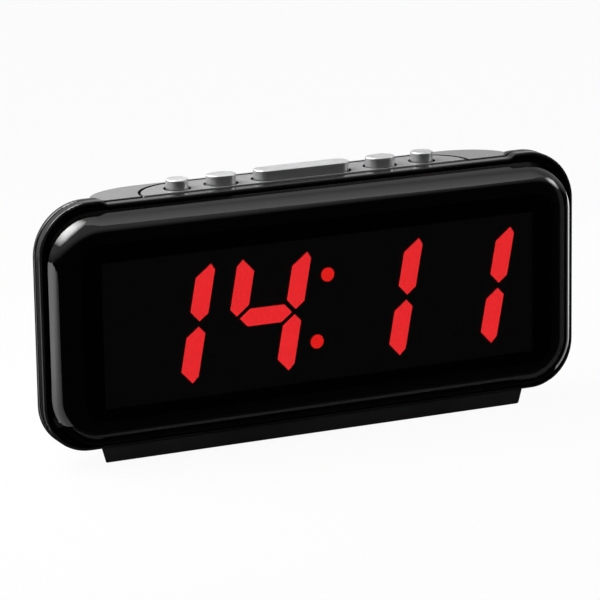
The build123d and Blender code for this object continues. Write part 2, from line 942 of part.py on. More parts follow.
with BuildPart() as smoothing_capacitor:
    with BuildSketch(upright(main_board_front)):
        with Locations((capacitor_x, main_board_middle + capacitor_diameter / 2)):
            Circle(capacitor_diameter / 2)
    extrude(amount=capacitor_height)

with BuildPart() as buzzer:
    with BuildSketch(upright(main_board_back)):
        with Locations(buzzer_place):
            Circle(buzzer_diameter / 2)
    extrude(amount=-buzzer_height)
    with BuildSketch(upright(main_board_back + buzzer_height)):
        with Locations(buzzer_place):
            Circle(sound_hole / 2)
    extrude(amount=buzzer_height / 2, mode=Mode.SUBTRACT)

# Power inlet and its centre pin
jack_back = shell_back - jack_recess
with BuildPart() as power_jack:
    with BuildSketch(upright(jack_back)):
        with Locations((jack_x, jack_level)):
            Rectangle(jack_size, jack_size)
    extrude(amount=jack_back - main_board_back)
    with BuildSketch(upright(jack_back)):
        with Locations((jack_x, jack_level)):
            Circle(jack_bore / 2)
    extrude(amount=jack_depth, mode=Mode.SUBTRACT)

with BuildPart() as jack_pin:
    with BuildSketch(upright(jack_back - jack_depth)):
        with Locations((jack_x, jack_level)):
            Circle(jack_pin_diameter / 2)
    extrude(amount=-jack_pin_length)
    fillet(jack_pin.faces().sort_by(Axis.Y)[-1].edges(), jack_pin_diameter / 4)

# Alarm switch on the board and the slider that reaches out through the back
knob_x = slider_x - slider_travel / 2
plate_outer = inner_wall - slider_gap
plate_inner = plate_outer - slider_plate_thickness
slide_body_back = main_board_back + slide_body_height
with BuildPart() as alarm_switch:
    with BuildSketch(upright(main_board_back)):
        with Locations((slider_x, slider_level)):
            Rectangle(slide_body_length, slide_body_width)
    extrude(amount=-slide_body_height)
    with BuildSketch(upright(slide_body_back)):
        with Locations((slider_x, slider_level)):
            Rectangle(slider_travel + slider_stem + 2 * opening_gap, slider_stem + 2 * opening_gap)
    extrude(amount=slide_slot_depth, mode=Mode.SUBTRACT)

with BuildPart() as alarm_slider:
    with BuildSketch(upright(plate_inner)):
        with Locations((knob_x, slider_level)):
            Rectangle(slider_plate_length, slider_plate_width)
    extrude(amount=-slider_plate_thickness)
    with BuildSketch(upright(plate_outer)):
        with Locations((knob_x, slider_level)):
            Rectangle(slider_knob_length, slider_knob_width)
    extrude(amount=plate_outer - jack_back)
    with BuildSketch(upright(plate_inner)):
        with Locations((knob_x, slider_level)):
            Rectangle(slider_stem, slider_stem)
    extrude(amount=plate_inner - slide_body_back + slider_stem_reach)

# Backup cell, its two contacts and the hinged door
with BuildPart() as backup_cell:
    with BuildSketch(upright(cell_front)):
        with Locations((cell_x, cell_level)):
            Circle(cell_diameter / 2)
    extrude(amount=-cell_thickness)

with BuildPart() as cell_contact_under:
    with BuildSketch(upright(bay_floor)):
        with Locations((cell_x, cell_level - (cell_diameter / 2 + bay_margin) / 2)):
            Rectangle(contact_width, cell_diameter / 2)
    extrude(amount=-contact_thickness)
    with BuildSketch(upright(bay_floor)):
        with Locations((cell_x, cell_level - cell_diameter / 2 - bay_margin / 2)):
            Rectangle(contact_width, contact_thickness)
    extrude(amount=bay_floor - main_board_back)

with BuildPart() as cell_contact_side:
    with BuildSketch(upright(main_board_back)):
        with Locations((cell_x + (cell_diameter + contact_thickness) / 2, cell_level)):
            Rectangle(contact_thickness, contact_width)
    extrude(amount=main_board_back - cell_back)

with BuildPart() as battery_door:
    with BuildSketch(upright(door_inner)):
        with Locations((cell_x, cell_level)):
            Rectangle(2 * door_half, 2 * door_half)
    extrude(amount=-door_thickness)
    with BuildSketch(upright(door_inner)):
        with Locations((cell_x, door_top + (tab_reach - tab_root) / 2)):
            with GridLocations(tab_spacing, 0, 2, 1):
                Rectangle(tab_width, tab_reach + tab_root)
    extrude(amount=tab_thickness)
    with BuildSketch(upright(door_axis_y)):
        with Locations((cell_x, cell_level - door_half)):
            SlotOverall(2 * contact_width, contact_width)
    extrude(amount=door_thickness / 2, mode=Mode.SUBTRACT)

# Ribbon cables between the boards
link_level = display_level - display_height / 2 + connector_length / 2
switch_link_y = switch_board_front + switch_board_depth / 2
switch_link_level = main_board_low + main_board_height - connector_length / 2
link_front = display_board_back + connector_height
link_back = main_board_front - connector_height
link_top = switch_board_bottom - connector_height
with BuildPart() as ribbon_connectors:
    with BuildSketch(upright(display_board_back)):
        with Locations((0, link_level)):
            Rectangle(connector_length, connector_width)
    extrude(amount=-connector_height)
    with BuildSketch(upright(main_board_front)):
        with Locations((0, link_level), (switch_ribbon_x, switch_link_level)):
            Rectangle(connector_length, connector_width)
    extrude(amount=connector_height)
    with BuildSketch(level(switch_board_bottom)):
        with Locations((switch_ribbon_x, switch_link_y)):
            Rectangle(connector_length, connector_width)
    extrude(amount=-connector_height)

with BuildPart() as display_ribbon:
    link_middle = (link_front + link_back) / 2
    with BuildSketch(Plane.YZ.offset(-ribbon_width / 2)):
        with BuildLine():
            FilletPolyline(
                (link_front, link_level),
                (link_middle - ribbon_bend, link_level),
                (link_middle - ribbon_bend, link_level - ribbon_slack),
                (link_middle + ribbon_bend, link_level - ribbon_slack),
                (link_middle + ribbon_bend, link_level),
                (link_back, link_level),
                radius=ribbon_bend * 0.9,
            )
        trace(line_width=ribbon_thickness)
    extrude(amount=ribbon_width)

with BuildPart() as switch_ribbon:
    with BuildSketch(Plane.YZ.offset(switch_ribbon_x - ribbon_width / 2)):
        with BuildLine():
            FilletPolyline(
                (switch_link_y, link_top),
                (switch_link_y, switch_link_level),
                (link_back, switch_link_level),
                radius=ribbon_turn,
            )
        trace(line_width=ribbon_thickness)
    extrude(amount=ribbon_width)

# Foot under the case, hollow from above, with its screws and rubber pads
foot_end_wall = wall * (foot_slant + hypot(1, foot_slant))
with BuildPart() as foot:
    loft(
        [
            foot_plan(foot_bottom, foot_half - foot_draft, foot_front, foot_back - foot_draft),
            foot_plan(case_bottom, foot_half, foot_front, foot_back),
        ]
    )
    fillet(foot.faces().sort_by(Axis.Z)[0].edges(), foot_round)
    extrude(
        foot_plan(
            foot_bottom + foot_floor,
            foot_half - foot_draft - foot_end_wall,
            foot_front + wall,
            foot_back - foot_draft - wall,
        ),
        amount=foot_height - foot_floor,
        mode=Mode.SUBTRACT,
    )
    with BuildSketch(level(foot_bottom + foot_floor)):
        with Locations(*foot_screw_places):
            Circle(post_diameter / 2)
    extrude(amount=foot_height - foot_floor)
    with BuildSketch(level(foot_bottom)):
        with Locations(*foot_screw_places):
            Circle((case_screw_head + screw_gap) / 2)
    extrude(amount=foot_screw_seat, mode=Mode.SUBTRACT)
    with BuildSketch(level(foot_bottom)):
        with Locations(*foot_screw_places):
            Circle(case_screw_diameter / 2 + screw_gap)
    extrude(amount=foot_height, mode=Mode.SUBTRACT)
    with BuildSketch(level(foot_bottom)):
        with Locations(*pad_places):
            Circle(pad_diameter / 2)
    extrude(amount=pad_height - pad_proud, mode=Mode.SUBTRACT)

with BuildPart() as foot_screws:
    with BuildSketch(level(foot_bottom + foot_screw_seat)):
        with Locations(*foot_screw_places):
            Circle(case_screw_head / 2)
    extrude(amount=-case_screw_head_height)
    with BuildSketch(level(foot_bottom + foot_screw_seat)):
        with Locations(*foot_screw_places):
            Circle(case_screw_diameter / 2)
    extrude(amount=case_screw_length)

with BuildPart() as foot_pads:
    with BuildSketch(level(0)):
        with Locations(*pad_places):
            Circle(pad_diameter / 2)
    extrude(amount=pad_height)
    fillet(foot_pads.faces().group_by(Axis.Z)[0].edges(), pad_proud / 2)

# Labels and files
os.makedirs("parts", exist_ok=True)
front_lens.part.label = "front_lens"
lens_mask.part.label = "lens_mask"
lens_gasket.part.label = "lens_gasket"
front_frame.part.label = "front_frame"
rear_shell.part.label = "rear_shell"
case_screws.part.label = "case_screws"
button_panel.part.label = "button_panel"
round_button_left.part.label = "round_button_left"
oval_button_left.part.label = "oval_button_left"
snooze_bar.part.label = "snooze_bar"
oval_button_right.part.label = "oval_button_right"
round_button_right.part.label = "round_button_right"
round_plunger_left.part.label = "round_plunger_left"
oval_plunger_left.part.label = "oval_plunger_left"
snooze_plunger.part.label = "snooze_plunger"
oval_plunger_right.part.label = "oval_plunger_right"
round_plunger_right.part.label = "round_plunger_right"
key_switches.part.label = "key_switches"
switch_board.part.label = "switch_board"
switch_board_screws.part.label = "switch_board_screws"
display_housing.part.label = "display_housing"
lit_segments.part.label = "lit_segments"
dark_segments.part.label = "dark_segments"
colon_dots.part.label = "colon_dots"
led_chips.part.label = "led_chips"
display_board.part.label = "display_board"
display_board_screws.part.label = "display_board_screws"
main_board.part.label = "main_board"
main_board_screws.part.label = "main_board_screws"
clock_chip.part.label = "clock_chip"
quartz_crystal.part.label = "quartz_crystal"
smoothing_capacitor.part.label = "smoothing_capacitor"
buzzer.part.label = "buzzer"
power_jack.part.label = "power_jack"
jack_pin.part.label = "jack_pin"
alarm_switch.part.label = "alarm_switch"
alarm_slider.part.label = "alarm_slider"
backup_cell.part.label = "backup_cell"
cell_contact_under.part.label = "cell_contact_under"
cell_contact_side.part.label = "cell_contact_side"
battery_door.part.label = "battery_door"
ribbon_connectors.part.label = "ribbon_connectors"
display_ribbon.part.label = "display_ribbon"
switch_ribbon.part.label = "switch_ribbon"
foot.part.label = "foot"
foot_screws.part.label = "foot_screws"
foot_pads.part.label = "foot_pads"
export_step(front_lens.part, "parts/front_lens.step")
export_step(lens_mask.part, "parts/lens_mask.step")
export_step(lens_gasket.part, "parts/lens_gasket.step")
export_step(front_frame.part, "parts/front_frame.step")
export_step(rear_shell.part, "parts/rear_shell.step")
export_step(case_screws.part, "parts/case_screws.step")
export_step(button_panel.part, "parts/button_panel.step")
export_step(round_button_left.part, "parts/round_button_left.step")
export_step(oval_button_left.part, "parts/oval_button_left.step")
export_step(snooze_bar.part, "parts/snooze_bar.step")
export_step(oval_button_right.part, "parts/oval_button_right.step")
export_step(round_button_right.part, "parts/round_button_right.step")
export_step(round_plunger_left.part, "parts/round_plunger_left.step")
export_step(oval_plunger_left.part, "parts/oval_plunger_left.step")
export_step(snooze_plunger.part, "parts/snooze_plunger.step")
export_step(oval_plunger_right.part, "parts/oval_plunger_right.step")
export_step(round_plunger_right.part, "parts/round_plunger_right.step")
export_step(key_switches.part, "parts/key_switches.step")
export_step(switch_board.part, "parts/switch_board.step")
export_step(switch_board_screws.part, "parts/switch_board_screws.step")
export_step(display_housing.part, "parts/display_housing.step")
export_step(lit_segments.part, "parts/lit_segments.step")
export_step(dark_segments.part, "parts/dark_segments.step")
export_step(colon_dots.part, "parts/colon_dots.step")
export_step(led_chips.part, "parts/led_chips.step")
export_step(display_board.part, "parts/display_board.step")
export_step(display_board_screws.part, "parts/display_board_screws.step")
export_step(main_board.part, "parts/main_board.step")
export_step(main_board_screws.part, "parts/main_board_screws.step")
export_step(clock_chip.part, "parts/clock_chip.step")
export_step(quartz_crystal.part, "parts/quartz_crystal.step")
export_step(smoothing_capacitor.part, "parts/smoothing_capacitor.step")
export_step(buzzer.part, "parts/buzzer.step")
export_step(power_jack.part, "parts/power_jack.step")
export_step(jack_pin.part, "parts/jack_pin.step")
export_step(alarm_switch.part, "parts/alarm_switch.step")
export_step(alarm_slider.part, "parts/alarm_slider.step")
export_step(backup_cell.part, "parts/backup_cell.step")
export_step(cell_contact_under.part, "parts/cell_contact_under.step")
export_step(cell_contact_side.part, "parts/cell_contact_side.step")
export_step(battery_door.part, "parts/battery_door.step")
export_step(ribbon_connectors.part, "parts/ribbon_connectors.step")
export_step(display_ribbon.part, "parts/display_ribbon.step")
export_step(switch_ribbon.part, "parts/switch_ribbon.step")
export_step(foot.part, "parts/foot.step")
export_step(foot_screws.part, "parts/foot_screws.step")
export_step(foot_pads.part, "parts/foot_pads.step")
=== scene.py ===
import math

import bmesh
import bpy
from mathutils import Matrix, Vector


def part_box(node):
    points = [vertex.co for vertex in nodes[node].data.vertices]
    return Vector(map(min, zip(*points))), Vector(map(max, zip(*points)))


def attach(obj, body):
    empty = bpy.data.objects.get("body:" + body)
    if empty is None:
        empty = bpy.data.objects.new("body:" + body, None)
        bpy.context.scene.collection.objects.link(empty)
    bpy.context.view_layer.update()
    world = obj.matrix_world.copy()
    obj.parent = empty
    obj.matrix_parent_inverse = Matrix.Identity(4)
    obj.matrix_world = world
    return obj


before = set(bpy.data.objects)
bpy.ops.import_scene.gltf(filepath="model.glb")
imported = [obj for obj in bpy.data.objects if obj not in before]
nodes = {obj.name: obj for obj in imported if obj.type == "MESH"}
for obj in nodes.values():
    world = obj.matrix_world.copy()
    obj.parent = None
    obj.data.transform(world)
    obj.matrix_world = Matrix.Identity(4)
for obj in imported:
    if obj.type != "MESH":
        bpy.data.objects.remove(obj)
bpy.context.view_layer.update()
print("clock solids loaded:", len(nodes))

scene = bpy.context.scene
scene.view_settings.view_transform = "Standard"

# finishes: noise in the clock's own frame varies colour, gloss and grain
noiseLook = {"run": (0.3, 0.7), "grainDetail": 2.0, "cloudDetail": 3.0}  # run: the part of a noise that shows


def newFinish(name):
    material = bpy.data.materials.new(name)
    material.use_nodes = True
    tree = material.node_tree
    shader = tree.nodes["Principled BSDF"]
    return material, tree, shader


def addNode(tree, kind, **settings):
    node = tree.nodes.new(kind)
    for key, value in settings.items():
        setattr(node, key, value)
    return node


def finishNoise(tree, scale, detail=noiseLook["grainDetail"], stretch=(1.0, 1.0, 1.0)):
    # stretched along an axis where the finish has a direction
    place = addNode(tree, "ShaderNodeTexCoord")
    mapping = addNode(tree, "ShaderNodeMapping")
    mapping.inputs["Scale"].default_value = stretch
    noise = addNode(tree, "ShaderNodeTexNoise")
    noise.inputs["Scale"].default_value = scale
    noise.inputs["Detail"].default_value = detail
    tree.links.new(place.outputs["Object"], mapping.inputs["Vector"])
    tree.links.new(mapping.outputs["Vector"], noise.inputs["Vector"])
    return noise


def spread(tree, value, low, high, run=noiseLook["run"]):
    # low to high, as the value goes from one end of its run to the other
    ranger = addNode(tree, "ShaderNodeMapRange")
    ranger.inputs["From Min"].default_value = run[0]
    ranger.inputs["From Max"].default_value = run[1]
    ranger.inputs["To Min"].default_value = low
    ranger.inputs["To Max"].default_value = high
    tree.links.new(value, ranger.inputs["Value"])
    return ranger.outputs["Result"]


def cloudColour(tree, cloud, look):
    # a little darker and lighter than the colour, in soft clouds
    ramp = addNode(tree, "ShaderNodeValToRGB")
    for element, place, way in zip(ramp.color_ramp.elements, noiseLook["run"], (-1, 1)):
        element.position = place
        element.color = [c * (1 + way * look["mottle"]) for c in look["colour"]] + [1]
    tree.links.new(cloud.outputs["Fac"], ramp.inputs["Fac"])
    return ramp.outputs["Color"]


def grainedFinish(name, look):
    # plastic or metal with fine grain and slightly uneven gloss and colour
    material, tree, shader = newFinish(name)
    cloud = finishNoise(tree, look["cloudScale"], noiseLook["cloudDetail"])
    tree.links.new(cloudColour(tree, cloud, look), shader.inputs["Base Color"])
    low, high = look["rough"]
    tree.links.new(spread(tree, cloud.outputs["Fac"], low, high), shader.inputs["Roughness"])
    grain = finishNoise(tree, look["grainScale"], stretch=look.get("stretch", (1, 1, 1)))
    bump = addNode(tree, "ShaderNodeBump")
    bump.inputs["Strength"].default_value = look["grain"]
    bump.inputs["Distance"].default_value = look["grainDepth"]
    tree.links.new(grain.outputs["Fac"], bump.inputs["Height"])
    tree.links.new(bump.outputs["Normal"], shader.inputs["Normal"])
    shader.inputs["Metallic"].default_value = look.get("metal", 0.0)
    shader.inputs["IOR"].default_value = look.get("ior", 1.5)
    shader.inputs["Specular IOR Level"].default_value = look.get("specular", 0.5)
    return material


def dress(material, *names):
    for name in names:
        piece = nodes[name]
        piece.data.materials.clear()
        piece.data.materials.append(material)


# smoked lens over the display
lensLook = {"tint": (0.0135, 0.013, 0.013), "ior": 1.49, "rough": (0.004, 0.008), "polishScale": 35}


def smokedLens(look):
    material, tree, shader = newFinish("smokedLens")
    shader.inputs["Base Color"].default_value = (*look["tint"], 1)
    shader.inputs["Transmission Weight"].default_value = 1.0
    shader.inputs["IOR"].default_value = look["ior"]
    polish = finishNoise(tree, look["polishScale"])
    low, high = look["rough"]
    tree.links.new(spread(tree, polish.outputs["Fac"], low, high), shader.inputs["Roughness"])
    return material


dress(smokedLens(lensLook), "front_lens")

maskLook = {"colour": (0.003, 0.003, 0.003), "mottle": 0.2, "cloudScale": 90, "rough": (0.55, 0.7),
            "grainScale": 2500, "grain": 0.1, "grainDepth": 0.00005, "specular": 0.1}
dress(grainedFinish("maskFilm", maskLook), "lens_mask", "lens_gasket")

# lit bars and dots, strong enough to show through the smoked lens
barLook = {"colour": (0.83, 0.024, 0.028), "strength": 74.0, "uneven": 0.04, "glowScale": 900, "rough": 0.4}
dotLook = dict(barLook, colour=(0.80, 0.014, 0.012), strength=72.0)


def litFinish(name, look):
    material, tree, shader = newFinish(name)
    shader.inputs["Base Color"].default_value = (*look["colour"], 1)
    shader.inputs["Roughness"].default_value = look["rough"]
    cloud = finishNoise(tree, look["glowScale"])
    low = look["strength"] * (1 - look["uneven"])
    high = look["strength"] * (1 + look["uneven"])
    shader.inputs["Emission Color"].default_value = (*look["colour"], 1)
    tree.links.new(spread(tree, cloud.outputs["Fac"], low, high), shader.inputs["Emission Strength"])
    return material


dress(litFinish("litBars", barLook), "lit_segments")
dress(litFinish("litDots", dotLook), "colon_dots")

# dark display face with its unlit bars, given a faint painted glow: the face itself emits a little white
# light, standing in for light leaking between the bars
windowLook = {"colour": (0.05, 0.05, 0.05), "mottle": 0.1, "cloudScale": 60, "rough": (0.5, 0.6),
              "grainScale": 1800, "grain": 0.1, "grainDepth": 0.00005, "specular": 0.2, "paintedLeakGlow": 0.09}
windowBlack = grainedFinish("windowBlack", windowLook)
windowShader = windowBlack.node_tree.nodes["Principled BSDF"]
# painted glow: the housing and unlit bars emit faint white light of their own
windowShader.inputs["Emission Color"].default_value = (1, 1, 1, 1)
windowShader.inputs["Emission Strength"].default_value = windowLook["paintedLeakGlow"]
dress(windowBlack, "display_housing", "dark_segments")
print("display dressed")

# black front frame, foot and pads
frameLook = {"colour": (0.012, 0.012, 0.0124), "mottle": 0.15, "cloudScale": 40, "rough": (0.07, 0.10),
             "grainScale": 3000, "grain": 0.05, "grainDepth": 0.00004, "specular": 0.35}
dress(grainedFinish("caseBlack", frameLook), "front_frame")

footLook = {"colour": (0.022, 0.022, 0.0225), "mottle": 0.15, "cloudScale": 40, "rough": (0.30, 0.40),
            "grainScale": 1600, "grain": 0.2, "grainDepth": 0.00008}
dress(grainedFinish("footBlack", footLook), "foot")

padLook = {"colour": (0.02, 0.02, 0.021), "mottle": 0.2, "cloudScale": 200, "rough": (0.7, 0.85),
           "grainScale": 1500, "grain": 0.4, "grainDepth": 0.0001}
dress(grainedFinish("padRubber", padLook), "foot_pads")

# black shell, with a silver film on the button panel and on the flat of the deck round it
shellLook = {"colour": (0.009, 0.009, 0.0093), "mottle": 0.15, "cloudScale": 40, "rough": (0.12, 0.17),
             "grainScale": 2200, "grain": 0.12, "grainDepth": 0.00006}
panelLook = {"colour": (0.31, 0.31, 0.315), "mottle": 0.06, "cloudScale": 500,
             "flat": 0.962, "reach": 0.0003}  # how level a face must lie, and how near the deck's height
deckLook = dict(panelLook, colour=(0.26, 0.26, 0.265))


def filmedBlack(name, look, film):
    # black moulding whose flat top, at the panel's own level, carries the film
    material = grainedFinish(name, look)
    tree = material.node_tree
    shader = tree.nodes["Principled BSDF"]
    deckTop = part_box("button_panel")[1][2]
    place = addNode(tree, "ShaderNodeTexCoord")
    split = addNode(tree, "ShaderNodeSeparateXYZ")
    tree.links.new(place.outputs["Object"], split.inputs["Vector"])
    atDeck = addNode(tree, "ShaderNodeMath", operation="COMPARE")
    tree.links.new(split.outputs["Z"], atDeck.inputs[0])
    atDeck.inputs[1].default_value = deckTop
    atDeck.inputs[2].default_value = film["reach"]
    facing = addNode(tree, "ShaderNodeNewGeometry")
    lie = addNode(tree, "ShaderNodeSeparateXYZ")
    tree.links.new(facing.outputs["True Normal"], lie.inputs["Vector"])
    lyingFlat = addNode(tree, "ShaderNodeMath", operation="GREATER_THAN")
    tree.links.new(lie.outputs["Z"], lyingFlat.inputs[0])
    lyingFlat.inputs[1].default_value = film["flat"]
    onDeck = addNode(tree, "ShaderNodeMath", operation="MULTIPLY")
    tree.links.new(atDeck.outputs["Value"], onDeck.inputs[0])
    tree.links.new(lyingFlat.outputs["Value"], onDeck.inputs[1])
    blackColour = shader.inputs["Base Color"].links[0].from_socket
    silverCloud = finishNoise(tree, film["cloudScale"], noiseLook["cloudDetail"])
    mix = addNode(tree, "ShaderNodeMix", data_type="RGBA")
    tree.links.new(onDeck.outputs["Value"], mix.inputs["Factor"])
    tree.links.new(blackColour, mix.inputs["A"])
    tree.links.new(cloudColour(tree, silverCloud, film), mix.inputs["B"])
    tree.links.new(mix.outputs["Result"], shader.inputs["Base Color"])
    return material


dress(filmedBlack("panelFilm", shellLook, panelLook), "button_panel")
dress(filmedBlack("shellFilm", shellLook, deckLook), "rear_shell")
dress(grainedFinish("doorBlack", shellLook), "battery_door")

# satin silver buttons, brushed along the clock
buttonLook = {"colour": (0.6, 0.6, 0.605), "mottle": 0.05, "cloudScale": 120, "rough": (0.42, 0.5),
              "topRun": (0.5, 0.95), "grainScale": 900, "grain": 0.2, "grainDepth": 0.00006,
              "stretch": (0.06, 1, 1), "metal": 1.0}
buttonNames = ["round_button_left", "oval_button_left", "snooze_bar",
               "oval_button_right", "round_button_right"]


def drawnMetal(name, look):
    # metal caps with smoother sides and a brushed top
    material = grainedFinish(name, look)
    tree = material.node_tree
    facing = addNode(tree, "ShaderNodeNewGeometry")
    lie = addNode(tree, "ShaderNodeSeparateXYZ")
    tree.links.new(facing.outputs["True Normal"], lie.inputs["Vector"])
    low, high = look["rough"]
    rough = spread(tree, lie.outputs["Z"], low, high, look["topRun"])
    tree.links.new(rough, tree.nodes["Principled BSDF"].inputs["Roughness"])
    return material


dress(drawnMetal("satinSilver", buttonLook), *buttonNames)
print("case dressed")

# screws, contacts, boards and what sits on them
steelLook = {"colour": (0.45, 0.45, 0.44), "mottle": 0.08, "cloudScale": 300, "rough": (0.3, 0.45),
             "grainScale": 2500, "grain": 0.15, "grainDepth": 0.00005, "metal": 1.0}
dress(grainedFinish("zincSteel", steelLook), "case_screws", "foot_screws", "display_board_screws",
      "main_board_screws", "switch_board_screws", "backup_cell", "quartz_crystal")

brassLook = dict(steelLook, colour=(0.62, 0.46, 0.2))
dress(grainedFinish("contactBrass", brassLook), "jack_pin", "cell_contact_under", "cell_contact_side")

boardLook = {"colour": (0.02, 0.11, 0.035), "mottle": 0.2, "cloudScale": 150, "rough": (0.3, 0.45),
             "grainScale": 1200, "grain": 0.2, "grainDepth": 0.00008}
dress(grainedFinish("boardGreen", boardLook), "display_board", "main_board", "switch_board")

partLook = {"colour": (0.012, 0.012, 0.012), "mottle": 0.2, "cloudScale": 200, "rough": (0.45, 0.6),
            "grainScale": 2500, "grain": 0.2, "grainDepth": 0.00006}
dress(grainedFinish("partBlack", partLook), "key_switches", "clock_chip", "buzzer", "power_jack",
      "alarm_switch", "alarm_slider", "round_plunger_left", "oval_plunger_left", "snooze_plunger",
      "oval_plunger_right", "round_plunger_right")

sleeveLook = dict(partLook, colour=(0.02, 0.03, 0.09), rough=(0.2, 0.3))
dress(grainedFinish("sleeveBlue", sleeveLook), "smoothing_capacitor")

nylonLook = dict(partLook, colour=(0.7, 0.68, 0.62), rough=(0.4, 0.5))
dress(grainedFinish("connectorNylon", nylonLook), "ribbon_connectors", "led_chips")

ribbonLook = dict(partLook, colour=(0.3, 0.3, 0.32), stretch=(1, 0.05, 0.05), grainScale=700, grain=0.5)
dress(grainedFinish("ribbonGrey", ribbonLook), "display_ribbon", "switch_ribbon")
print("inner pieces dressed")

# small marks on the back: thin closed solids between two depths
samePoint = 1e-7


def ring(centre, outer, inner, start=0.0, sweep=math.tau, steps=40):
    # two rows of points, round a full ring or along an open arc
    angles = [start + sweep * k / steps for k in range(steps + 1)]
    edge = [(centre[0] + outer * math.cos(a), centre[1] + outer * math.sin(a)) for a in angles]
    hollow = [(centre[0] + inner * math.cos(a), centre[1] + inner * math.sin(a)) for a in angles]
    return edge, hollow


def bar(centre, width, height):
    x, z = centre
    left, right = x - width / 2, x + width / 2
    low, high = z - height / 2, z + height / 2
    return [(left, low), (right, low)], [(left, high), (right, high)]


def markSolid(name, strips, low, high, body, material):
    # each strip runs between two rows of points, and gets a front, a back and its walls
    mesh = bpy.data.meshes.new(name)
    solid = bmesh.new()
    for nearRow, farRow in strips:
        layers = []
        for depth in (low, high):
            layers.append([[solid.verts.new((x, depth, z)) for x, z in row] for row in (nearRow, farRow)])
        count = len(nearRow) - 1
        for near, far in layers:
            for k in range(count):
                solid.faces.new((near[k], near[k + 1], far[k + 1], far[k]))
        (lowNear, lowFar), (highNear, highFar) = layers
        for under, over in ((lowNear, highNear), (lowFar, highFar)):
            for k in range(count):
                solid.faces.new((under[k], under[k + 1], over[k + 1], over[k]))
        closed = math.dist(nearRow[0], nearRow[-1]) < samePoint
        for k in () if closed else (0, count):
            solid.faces.new((lowNear[k], lowFar[k], highFar[k], highNear[k]))
    bmesh.ops.remove_doubles(solid, verts=solid.verts, dist=samePoint)
    bmesh.ops.recalc_face_normals(solid, faces=solid.faces)
    solid.to_mesh(mesh)
    solid.free()
    mesh.materials.append(material)
    piece = bpy.data.objects.new(name, mesh)
    scene.collection.objects.link(piece)
    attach(piece, body)


def middle(node):
    low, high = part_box(node)
    return (low[0] + high[0]) / 2, (low[2] + high[2]) / 2


# pad-printed signs: polarity under the inlet, off and on beside the slider
signLook = {"colour": (0.42, 0.42, 0.42), "mottle": 0.1, "cloudScale": 700, "rough": (0.55, 0.7),
            "grainScale": 3000, "grain": 0.15, "grainDepth": 0.00003, "ink": 0.00002, "line": 0.0004,
            "size": 0.0013, "drop": 0.0085, "reach": 0.0088,
            "plusReach": 4, "minusReach": 3, "cupMouth": 40}  # reaches in sign sizes, half the gap in degrees
signInk = grainedFinish("signInk", signLook)
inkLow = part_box("rear_shell")[1][1]
inkHigh = inkLow + signLook["ink"]
line = signLook["line"]
size = signLook["size"]
jackX, jackZ = middle("power_jack")
signZ = jackZ - signLook["drop"]
plusX = jackX + signLook["plusReach"] * size
minusX = jackX - signLook["minusReach"] * size
mouth = math.radians(signLook["cupMouth"])
stroke = (size - line) / 2  # half of the plus's upright, above and below its bar
strokeLift = (size + line) / 4
polarity = [
    ring((jackX, signZ), size, size - line, mouth, math.tau - 2 * mouth),
    bar((jackX, signZ), line, line),
    bar(((jackX + plusX) / 2, signZ), plusX - jackX - 2 * size, line),
    bar(((jackX + minusX) / 2, signZ), jackX - minusX - 2 * size, line),
    ring((plusX, signZ), size, size - line),
    bar((plusX, signZ), size, line),
    bar((plusX, signZ + strokeLift), line, stroke),
    bar((plusX, signZ - strokeLift), line, stroke),
    ring((minusX, signZ), size, size - line),
    bar((minusX, signZ), size, line),
]
slotX, slotZ = middle("alarm_switch")
offRing = [ring((slotX - signLook["reach"], slotZ), size, size - line)]
onBar = [bar((slotX + signLook["reach"], slotZ), line, 2 * size)]
markSolid("polaritySign", polarity, inkLow, inkHigh, "clock", signInk)
markSolid("offMark", offRing, inkLow, inkHigh, "clock", signInk)
markSolid("onMark", onBar, inkLow, inkHigh, "clock", signInk)

# raised arrow on the battery door and grip ribs on the slider
reliefLook = {"height": 0.00015, "arrow": 0.006, "arm": 0.0016,
              "ribs": 3, "ribPitch": 0.0011, "ribWidth": 0.0005, "ribLength": 0.003}
doorX, doorZ = middle("battery_door")
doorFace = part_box("battery_door")[1][1]
arrow = reliefLook["arrow"]
tipRow = [(doorX - arrow, doorZ), (doorX, doorZ - arrow), (doorX + arrow, doorZ)]
tailRow = [(x, z + reliefLook["arm"]) for x, z in tipRow]
markSolid("doorArrow", [(tipRow, tailRow)], doorFace, doorFace + reliefLook["height"], "battery_door",
          nodes["battery_door"].data.materials[0])

knobX, knobZ = middle("alarm_slider")
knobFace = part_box("alarm_slider")[1][1]
ribStart = knobX - reliefLook["ribPitch"] * (reliefLook["ribs"] - 1) / 2
ribPlaces = [(ribStart + k * reliefLook["ribPitch"], knobZ) for k in range(reliefLook["ribs"])]
ribs = [bar(place, reliefLook["ribWidth"], reliefLook["ribLength"]) for place in ribPlaces]
markSolid("sliderRibs", ribs, knobFace, knobFace + reliefLook["height"], "alarm_slider",
          nodes["alarm_slider"].data.materials[0])
print("marks and relief made")

# camera, placed as in the photograph
cameraLook = {"place": (-0.582782, -1.259187, 0.398091), "lens": 221.32, "sensor": 36, "clip": (0.05, 20),
              "right": (0.905855, -0.423310, -0.015313), "down": (-0.116364, -0.213926, -0.969894),
              "forward": (0.407290, 0.880366, -0.243044)}
cameraData = bpy.data.cameras.new("photoCamera")
cameraData.lens = cameraLook["lens"]
cameraData.sensor_width = cameraLook["sensor"]
cameraData.clip_start, cameraData.clip_end = cameraLook["clip"]
camera = bpy.data.objects.new("photoCamera", cameraData)
up = [-v for v in cameraLook["down"]]
back = [-v for v in cameraLook["forward"]]
turn = Matrix((cameraLook["right"], up, back)).transposed()
camera.matrix_world = Matrix.Translation(cameraLook["place"]) @ turn.to_4x4()
scene.collection.objects.link(camera)
scene.camera = camera

